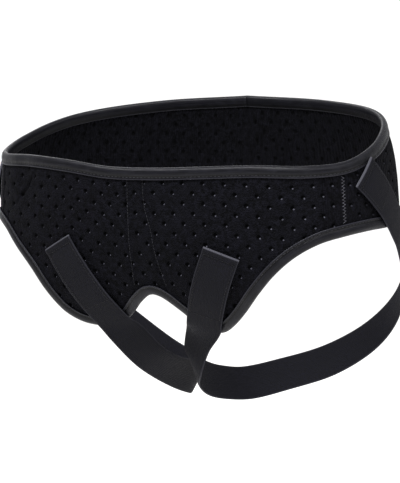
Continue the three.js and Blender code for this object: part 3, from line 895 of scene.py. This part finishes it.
# %% Cut and lay both halves of the band
band_start = SIDE_SEAM_TO_CENTRE + GAP / 2
for side, start, stop in (("left", band_start, HALF_GIRTH), ("right", -HALF_GIRTH, -band_start)):
    band = cut_cloth(f"back_band_{side}_cloth", start, stop, band_knit)
    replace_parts(band, f"back_band_{side}")

# %% [markdown]
# ## Binding
# Satin tape is folded over each raw edge and sewn through all layers, so it is round at the fold,
# full in the middle, and drawn in at the stitches. The tape is a flat strip whose rows are laid
# round the fold, and it then follows the edge by its jig.

# %% The tape's cross-section, from the end inside the belt to the end outside
tape_section = smooth_table(
    "share  deep  off",
    [
        (0, 8.2, 0.5), (0.18, 4.6, 0.35), (0.34, 1.4, 0.4), (0.42, -0.45, 1.2), (0.48, -1.15, 2.6),
        (0.54, -0.75, 4.1), (0.6, 0.6, 5.15), (0.7, 2.7, 5.6), (0.8, 4.8, 5.35), (0.88, 6.4, 4.75),
        (0.94, 7.5, 5.05), (1, 8.4, 4.95),
    ],
)
section_line = np.stack([*tape_section(np.linspace(0, 1, 60)).values()], -1)

# %% Fold the tape over an edge
TAPE_CELL, TAPE_ROWS = 2.2, 26
# a little thinner than TAPE_WALL, so that the folded tape keeps off the cloth
DRAWN_WALL = 0.7
# the sewing draws the tape into faint puckers beside its stitches, on its outer leg
OUTER_LEG_FROM = 0.55
PUCKER, PUCKER_STEP, PUCKER_DRIFT = 0.12, 3.3, 1.7
PUCKER_LINE, PUCKER_REACH = 5.4, 1.8
SLOW_WAVE, SLOW_STEP, DRIFT_STEP = 0.1, 23, 19


def bind_edge(name, jig, inward):
    tape = sheet_on_table(name, round(jig.length / TAPE_CELL), TAPE_ROWS)
    unit = get_points(tape)
    along = unit[:, 0] * jig.length
    share = unit[:, 1] if inward > 0 else 1 - unit[:, 1]
    section = tape_section(share)
    drift = PUCKER_DRIFT * np.sin(along / DRIFT_STEP)
    pucker = PUCKER * np.sin(along / PUCKER_STEP * math.pi + drift)
    pucker *= bell(section["deep"] - PUCKER_LINE, PUCKER_REACH)
    waviness = (pucker + SLOW_WAVE * np.sin(along / SLOW_STEP)) * (share > OUTER_LEG_FROM)
    set_points(tape, np.stack([along, inward * section["deep"], section["off"] + waviness], -1))
    put_on(tape, jig, satin_tape, angle=60)
    pick(tape)
    bpy.ops.object.modifier_add(type="SOLIDIFY")
    tape.modifiers[-1].thickness = DRAWN_WALL / 1000
    tape.modifiers[-1].offset = 0
    bpy.ops.object.modifier_apply(modifier=tape.modifiers[-1].name)
    return tape


# %% Bind both edges
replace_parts(bind_edge("top_binding_tape", top_jig, -1), "top_binding")
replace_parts(bind_edge("lower_binding_tape", low_jig, 1), "lower_binding")

# %% [markdown]
# ## Stitches
# A lockstitch shows as a row of short threads, each sunk at both ends. One thread is modelled
# from a small sphere, an array repeats it, and a jig lays the row along its seam.

# %% One row of stitches
def stitch_row(
    name, jig, material, slot, across=0.0, lift=0.0, pitch=3.2, length=2.5, thread=0.42, start=0.0,
    stop=None, slant=0.0,
):
    """A row beside a path: how far across and up it lies, and the size and step of its threads."""
    stop = jig.length if stop is None else stop
    count = max(1, int((stop - start) / pitch))
    deselect_all()
    bpy.ops.mesh.primitive_uv_sphere_add(
        segments=8, ring_count=6, radius=0.5, location=(0, 0, 0), rotation=(0, math.pi / 2, 0)
    )
    row = bpy.context.object
    row.name = row.data.name = name
    row.scale = (thread, thread, length)
    bpy.ops.object.transform_apply(location=True, rotation=True, scale=True)
    if slant:
        row.rotation_euler = (0, 0, slant)
        bpy.ops.object.transform_apply(location=True, rotation=True, scale=True)
    bpy.ops.object.modifier_add(type="ARRAY")
    array = row.modifiers[-1]
    array.count = count
    array.use_relative_offset = False
    array.use_constant_offset = True
    array.constant_offset_displace = ((stop - start) / count, 0, 0)
    bpy.ops.object.modifier_apply(modifier=array.name)
    set_points(row, get_points(row) + (start + pitch / 2, across, lift))
    return put_on(row, jig, material, angle=80)


# %% Sew the bindings
# the stitches lie 6.5 mm inside the edge, in the groove of the tape
EDGE_TO_STITCHES, OFF_TAPE = 6.5, 5.2
binding_rows = [
    stitch_row(f"{edge}_binding_stitches", jig, edge_thread, "satin_tape", across=across, lift=OFF_TAPE)
    for edge, jig, across in (
        ("top", top_jig, -EDGE_TO_STITCHES),
        ("lower", low_jig, EDGE_TO_STITCHES),
    )
]
print("binding stitches, triangles:", sum(2 * len(row.data.polygons) for row in binding_rows))

# %% [markdown]
# ## Seams of the panel
# The two shaping seams are topstitched once, on the upper layer. The side seams, where the
# elastic band starts, are sewn with a zigzag, which gives when the band stretches.

# %% Topstitch the shaping seams
SHAPING_SEAM_FROM, SHAPING_SEAM_TO, SEAM_POINTS = -90, -4.5, 400
for side, pocket in (("left", pocket_left), ("right", pocket_right)):
    heights = np.linspace(SHAPING_SEAM_FROM, SHAPING_SEAM_TO, SEAM_POINTS)
    jig = PathJig(pocket(heights)["arc"], heights)
    stitch_row(
        f"shaping_seam_{side}", jig, edge_thread, "padded_cloth", across=-0.9, lift=PANEL_OUT + 0.5,
        pitch=2.6, length=2.2, thread=0.34,
    )
    print("shaping seam, mm:", side, round(jig.length))

# %% Zigzag the side seams
ZIGZAG_STEP, ZIGZAG_LENGTH, ZIGZAG_SLANT = 2.6, 4.4, 0.95
CLEAR_OF_TAPE, ZIGZAG_POINTS = 1, 200


def zigzag(name, arc):
    """Two rows that lean opposite ways, the second half a step on."""
    low = float(low_height(arc)) + TAPE_LEG + CLEAR_OF_TAPE
    high = float(top_height(arc)) - TAPE_LEG - CLEAR_OF_TAPE
    jig = PathJig(np.full(ZIGZAG_POINTS, float(arc)), np.linspace(low, high, ZIGZAG_POINTS))
    for word, way, start in (("down", -1, 0), ("up", 1, ZIGZAG_STEP / 2)):
        stitch_row(
            f"{name}_{word}", jig, seam_thread, "padded_cloth", lift=PANEL_OUT - 0.1,
            pitch=ZIGZAG_STEP, length=ZIGZAG_LENGTH, thread=0.5, slant=way * ZIGZAG_SLANT,
            start=start, stop=jig.length - ZIGZAG_STEP / 2 + start,
        )
    print(name, "zigzag, mm:", round(jig.length))


for side, way in (("left", 1), ("right", -1)):
    zigzag(f"side_seam_{side}", way * SIDE_STITCHES)

# %% [markdown]
# ## Leg straps
# Each strap is one length of flat woven elastic. Its ends lie on the cloth, and between them it
# hangs in a loop that turns from facing forward to lying against the thigh. Sections along the
# way, each with its place and the way that it looks, give the loop, and a smooth curve joins them.

# %% Where the straps run
# the front tab and then the hip tab, each as its free end and its inner end: turn is a share of
# the half girth, and level one of LOBE_DROP
STRAP_ENDS = {
    "left": ((0.1535, -0.49), (0.095, -0.96), (0.411, 0), (0.536, -0.4)),
    "right": ((-0.161, -0.449), (-0.083, -0.955), (-0.411, 0), (-0.536, -0.4)),
}
# across is a share of the hips' half width, back of their depth behind, and drop of the
# crotch's depth. swing is how far the outer face has turned from forward, and tilt how far it
# looks down, in degrees.
LOOP_BEHIND = [
    (0.485, 0.85, 0.9, 180, 24),
    (0.695, 0.88, 0.785, 205, 20),
    (0.875, 0.74, 0.63, 230, 13),
    (0.98, 0.49, 0.455, 250, 7),
]
LOOPS = {
    "left": [
        (0.178, -0.53, 0.737, 36, 24),
        (0.109, -0.4, 0.85, 53, 23),
        (0.059, -0.18, 0.9, 72, 14),
        (0.055, 0.02, 0.95, 86, 12),
        (0.07, 0.27, 0.985, 102, 19),
        (0.128, 0.5, 1, 130, 25),
        (0.26, 0.72, 0.97, 160, 26),
    ],
    "right": [
        (0.192, -0.605, 0.708, 26, 37),
        (0.126, -0.412, 0.826, 34, 39),
        (0.102, -0.244, 0.88, 39, 35),
        (0.092, 0.052, 0.938, 55, 24),
        (0.101, 0.313, 0.975, 83, 24),
        (0.163, 0.511, 0.983, 129, 27),
        (0.286, 0.7, 0.959, 160, 26),
    ],
}
print("sections between the tabs:", {side: len(rows + LOOP_BEHIND) for side, rows in LOOPS.items()})

# %% The straps' sections
# a section has this many spans across, and a tab this many sections
SPANS, TAB_SECTIONS = 4, 8
SIDES = np.linspace(-STRAP_WIDTH / 2, STRAP_WIDTH / 2, SPANS + 1)


def tab_sections(end, root):
    """Sections of the stretch that lies on the cloth, from its free end in."""
    share = np.linspace(0, 1, TAB_SECTIONS)
    arc = (end[0] + share * (root[0] - end[0])) * HALF_GIRTH
    height = (end[1] + share * (root[1] - end[1])) * LOBE_DROP
    along, upward, _ = slopes(arc, height)
    direction = along * (root[0] - end[0]) * HALF_GIRTH + upward * (root[1] - end[1]) * LOBE_DROP
    rate_arc, rate_height = square_rates(arc, height, direction)
    a = arc[:, None] + rate_arc[:, None] * SIDES
    h = height[:, None] + rate_height[:, None] * SIDES
    return [over_skin(a, h, off + 0 * a, HOLLOWS) for off in (STRAP_IN, STRAP_IN + STRAP_WALL)]


def strap_sections(side):
    """Points of the inner and the outer face, section by section from the front tab."""
    front_end, front_root, hip_end, hip_root = STRAP_ENDS[side]
    way = 1 if side == "left" else -1
    front = tab_sections(front_end, front_root)
    hip = [face[::-1, ::-1] for face in tab_sections(hip_end, hip_root)]
    rows = np.array(LOOPS[side] + LOOP_BEHIND, float)
    centres = rows[:, :3] * (way * HALF_HIP_WIDTH, BACK_DEPTH, -CROTCH_DROP)
    middle = lambda faces, k: (faces[0][k, SPANS // 2] + faces[1][k, SPANS // 2]) / 2
    chain = np.concatenate([[middle(front, -1)], centres, [middle(hip, 0)]])
    swing, tilt = np.radians(rows[:, 3]), np.radians(rows[:, 4])
    level = np.cos(tilt)
    look = np.stack([-way * np.sin(swing) * level, -np.cos(swing) * level, -np.sin(tilt)], -1)
    along = chain[2:] - chain[:-2]
    along /= np.linalg.norm(along, axis=1, keepdims=True)
    across = np.cross(look, along)
    across /= np.linalg.norm(across, axis=1, keepdims=True)
    normal = np.cross(along, across)
    line = centres[:, None] + across[:, None] * SIDES[None, :, None]
    free = [line + off * normal[:, None] for off in (-STRAP_WALL / 2, STRAP_WALL / 2)]
    return [np.concatenate([front[n], free[n], hip[n]]) for n in (0, 1)]


# %% The straps' jigs
class StrapJig:
    """Follows a strap: along it from the front tab, across it, and up through its wall."""

    def __init__(self, side):
        inner, outer = strap_sections(side)
        middle = (inner[:, SPANS // 2] + outer[:, SPANS // 2]) / 2
        reached = np.concatenate([[0], np.cumsum(np.linalg.norm(np.diff(middle, axis=0), axis=1))])
        self.length = reached[-1]
        both = np.stack([inner, outer], 1).reshape(len(middle), -1)
        names = " ".join(["along"] + [f"v{k}" for k in range(both.shape[1])])
        self.read = smooth_table(names, np.column_stack([reached, both]))

    def __call__(self, flat):
        found = np.stack(list(self.read(flat[:, 0]).values()), -1).reshape(-1, 2, SPANS + 1, 3)
        place = np.clip((flat[:, 1] + STRAP_WIDTH / 2) / STRAP_WIDTH * SPANS, 0, SPANS - 1e-6)
        k = place.astype(int)
        share = (place - k)[:, None, None]
        rows = np.arange(len(flat))
        ends = found[rows, :, k] * (1 - share) + found[rows, :, k + 1] * share
        up = (flat[:, 2] / STRAP_WALL)[:, None]
        return ends[:, 0] * (1 - up) + ends[:, 1] * up


class TurnedJig:
    """A strap's jig read across, so that a row of stitches runs from edge to edge."""

    def __init__(self, jig, along):
        self.jig, self.along, self.length = jig, along, STRAP_WIDTH

    def __call__(self, flat):
        along, across = self.along - flat[:, 1], flat[:, 0] - STRAP_WIDTH / 2
        return self.jig(np.stack([along, across, flat[:, 2]], -1))


strap_jigs = {side: StrapJig(side) for side in STRAP_ENDS}
print("leg straps, mm:", {side: round(jig.length) for side, jig in strap_jigs.items()})

# %% [markdown]
# ## Making the straps
# Elastic webbing has a firm, slightly rounded selvedge. At each end it is turned under and sewn
# down over the hook tape, so the end is thicker, with a fold at its edge and a box of stitches.

# %% Weave and shape a strap
STRAP_CELL, STRAP_ROWS = 2, 18
# the selvedge is round, and a small welt runs just inside it
SELVEDGE_ROUND, WELT, WELT_PLACE, WELT_SPREAD = 0.45, 0.14, 0.9, 0.05
# rows for dents(), from the end in: a round fold, a soft roll, and a dent along the stitches
TURNED_END = [(0, 0.6, 0.8), (2.5, -0.45, 2.2), (6, 0.35, 1.2)]


def keep_from_end(piece, flat, from_end):
    """Lets the material measure along the piece from whichever end is nearer."""
    flat[:, 0] = from_end
    piece.data.attributes["cut"].data.foreach_set("vector", flat.ravel())


def weave_strap(side):
    jig = strap_jigs[side]
    strap = sheet_on_table(f"leg_strap_{side}_elastic", round(jig.length / STRAP_CELL), STRAP_ROWS)
    unit = get_points(strap)
    along, across = unit[:, 0] * jig.length, (unit[:, 1] - 0.5) * STRAP_WIDTH
    set_points(strap, np.stack([along, across, 0 * along], -1))
    give_thickness(strap, STRAP_WALL)
    flat = get_points(strap)
    top = flat[:, 2] > STRAP_WALL / 2
    rim = np.abs(flat[:, 1]) / (STRAP_WIDTH / 2)
    from_end = np.minimum(flat[:, 0], jig.length - flat[:, 0])
    rounding = SELVEDGE_ROUND * rim**14
    sunk = rounding - WELT * bell(rim - WELT_PLACE, WELT_SPREAD) + dents(from_end, TURNED_END)
    flat[top, 2] -= sunk[top]
    flat[~top, 2] += rounding[~top]
    set_points(strap, flat)
    put_on(strap, jig, strap_elastic, angle=50)
    keep_from_end(strap, flat, from_end)
    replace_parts(strap, f"leg_strap_{side}")
    return strap


# %% Sew the boxes on the strap ends
# how far each box reaches from the end, and its rows from the end and from the selvedges
TAB_FRONT, TAB_HIP = 62, 36
SIDE_ROW_START, FIRST_CROSSING, FROM_SELVEDGE = 2.5, 5.5, 2.4


def sew_box(name, jig, start, stop, crossings):
    """A row along each selvedge, and rows from one selvedge to the other."""
    same = {"lift": STRAP_WALL + 0.05, "pitch": 2.8, "length": 2.2}
    inset = STRAP_WIDTH / 2 - FROM_SELVEDGE
    for n, across in enumerate((-inset, inset)):
        stitch_row(
            f"{name}_side_{n}", jig, strap_thread, "woven_elastic", across=across, start=start,
            stop=stop, **same,
        )
    for n, along in enumerate(crossings):
        stitch_row(
            f"{name}_cross_{n}", TurnedJig(jig, along), strap_thread, "woven_elastic",
            start=FROM_SELVEDGE, stop=STRAP_WIDTH - FROM_SELVEDGE, **same,
        )


for side, jig in strap_jigs.items():
    weave_strap(side)
    sew_box(f"front_tab_{side}", jig, SIDE_ROW_START, TAB_FRONT, (FIRST_CROSSING, TAB_FRONT))
    far = jig.length
    crossings = (far - FIRST_CROSSING, far - TAB_HIP)
    sew_box(f"hip_tab_{side}", jig, far - TAB_HIP, far - SIDE_ROW_START, crossings)
    print(side, "strap, mm:", STRAP_WIDTH, "by", round(far))

# %% [markdown]
# ## Hook patches and closure
# The hook patches lie hidden under the strap ends, so the CAD solids stay and get the finish of
# hook tape. The closure tab at the back is a plain piece of elastic with round corners.

# %% Finish the hook patches
for name in ("front_hook_left", "front_hook_right", "hip_hook_left", "hip_hook_right"):
    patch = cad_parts[name]
    patch.data.materials.clear()
    patch.data.materials.append(nylon_hooks)
    print(name, "finish:", nylon_hooks.name)

# %% Cut the closure tab
CLOSURE_LENGTH, CLOSURE_HEIGHT, CLOSURE_WALL = 110, 56, 2
CLOSURE_CORNER, CLOSURE_CELL = 7, 2
# rows for dents(), from the edge in: a round edge, and a shallow line inside it
CLOSURE_DENTS = [(0, 0.6, 0.9), (4, 0.3, 0.9)]
closure_middle = float(top_height(HALF_GIRTH) + low_height(HALF_GIRTH)) / 2


def closure_jig(flat):
    off = flat[:, 2] + PANEL_OUT + GAP
    return over_skin(HALF_GIRTH + flat[:, 0], closure_middle + flat[:, 1], off)


def cut_closure_tab():
    columns, rows = round(CLOSURE_LENGTH / CLOSURE_CELL) + 1, round(CLOSURE_HEIGHT / CLOSURE_CELL)
    tab = sheet_on_table("closure_tab_elastic", columns, rows)
    unit = get_points(tab)
    along, up = (unit[:, 0] - 0.5) * CLOSURE_LENGTH, (unit[:, 1] - 0.5) * CLOSURE_HEIGHT
    # the corners are rounded by squeezing the ends in height along a circle
    past = np.clip(np.abs(along) - (CLOSURE_LENGTH / 2 - CLOSURE_CORNER), 0, CLOSURE_CORNER)
    lost = CLOSURE_CORNER - np.sqrt(CLOSURE_CORNER**2 - past**2)
    set_points(tab, np.stack([along, up * (1 - lost / (CLOSURE_HEIGHT / 2)), 0 * along], -1))
    give_thickness(tab, CLOSURE_WALL)
    flat = get_points(tab)
    from_end = CLOSURE_LENGTH / 2 - np.abs(flat[:, 0])
    inset = np.minimum(from_end, CLOSURE_HEIGHT / 2 - np.abs(flat[:, 1]))
    top = flat[:, 2] > CLOSURE_WALL / 2
    flat[top, 2] -= dents(inset, CLOSURE_DENTS)[top]
    set_points(tab, flat)
    put_on(tab, closure_jig, elastic_material("closure_elastic", CLOSURE_HEIGHT / 2))
    keep_from_end(tab, flat, from_end)
    return tab


tab = cut_closure_tab()
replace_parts(tab, "closure_tab")
print("closure tab, mm:", CLOSURE_HEIGHT, "by", CLOSURE_LENGTH)

# %% [markdown]
# ## Floor, light and camera
# The belt is held up by the hips, so the floor lies well below it. Large soft lights give the
# even light of a catalogue picture. The camera stands to the wearer's left of the centre, a
# little above the belt, and far enough for a flat view.

# %% Floor and backdrop
FLOOR_SIZE, FLOOR_HEIGHT = 12, -0.62
deselect_all()
bpy.ops.mesh.primitive_plane_add(size=FLOOR_SIZE, location=(0, 0, FLOOR_HEIGHT))
floor = bpy.context.object
floor.name = "pale_floor"
floor_paint = new_material("pale_floor_paint")
shader = node(floor_paint, "BsdfPrincipled", Base_Color="#fbfaf8", Roughness=0.9)
node(floor_paint, "OutputMaterial", Surface=shader)
floor.data.materials.append(floor_paint)
print("floor height, m:", FLOOR_HEIGHT)

# %% Soft studio light
world = bpy.data.worlds.new("studio")
bpy.context.scene.world = world
world.use_nodes = True
world.node_tree.nodes["Background"].inputs["Color"].default_value = linear("#ffffff")
world.node_tree.nodes["Background"].inputs["Strength"].default_value = 1.06


def soft_light(name, place, size, power, aim=(0, 0, -0.05)):
    """A square light that looks at the belt. Places are in metres, and the power in watts."""
    deselect_all()
    bpy.ops.object.light_add(type="AREA", location=place)
    light = bpy.context.object
    light.name = name
    light.data.shape = "SQUARE"
    light.data.size = size
    light.data.energy = power
    way = np.array(aim) - np.array(place)
    tipped = math.acos(-way[2] / np.linalg.norm(way))
    light.rotation_euler = (tipped, 0, math.atan2(way[1], way[0]) - math.pi / 2)
    print(name, "watts:", power)


soft_light("key_light", (0.0, -1.6, 2.3), 0.9, 205)
soft_light("fill_light", (2.0, -0.9, 1.3), 1.0, 50)
soft_light("rim_light", (-1.2, 1.3, 1.4), 1.0, 12)

# %% Camera
# the picture's long side, its middle row, the row of the horizon and the focal length, in pixels
LONG_SIDE, MIDDLE_ROW, HORIZON_ROW, FOCAL_PIXELS = 483, 241.5, 110, 2235.3
AZIMUTH, PITCH = math.radians(25), math.atan((MIDDLE_ROW - HORIZON_ROW) / FOCAL_PIXELS)
# in metres, with the shift to the camera's right
DISTANCE, EYE_HEIGHT, EYE_SHIFT = 1.9, 0.05, 0.0026
SENSOR_WIDTH = 36
back = np.array([math.sin(AZIMUTH), -math.cos(AZIMUTH), 0])
right = np.array([math.cos(AZIMUTH), math.sin(AZIMUTH), 0])
eye = back * DISTANCE + (0, 0, EYE_HEIGHT) + right * EYE_SHIFT
bpy.ops.object.camera_add(location=eye, rotation=(math.pi / 2 - PITCH, 0, AZIMUTH))
camera = bpy.context.object
camera.data.sensor_width = SENSOR_WIDTH
camera.data.lens = SENSOR_WIDTH * FOCAL_PIXELS / LONG_SIDE
camera.data.clip_end = 50
bpy.context.scene.camera = camera
bpy.context.scene.view_settings.view_transform = "Standard"
# a catalogue picture's contrast: white stays white, and dark cloth goes darker
bpy.context.scene.view_settings.gamma = 0.78
print("camera lens, mm:", round(camera.data.lens, 1))
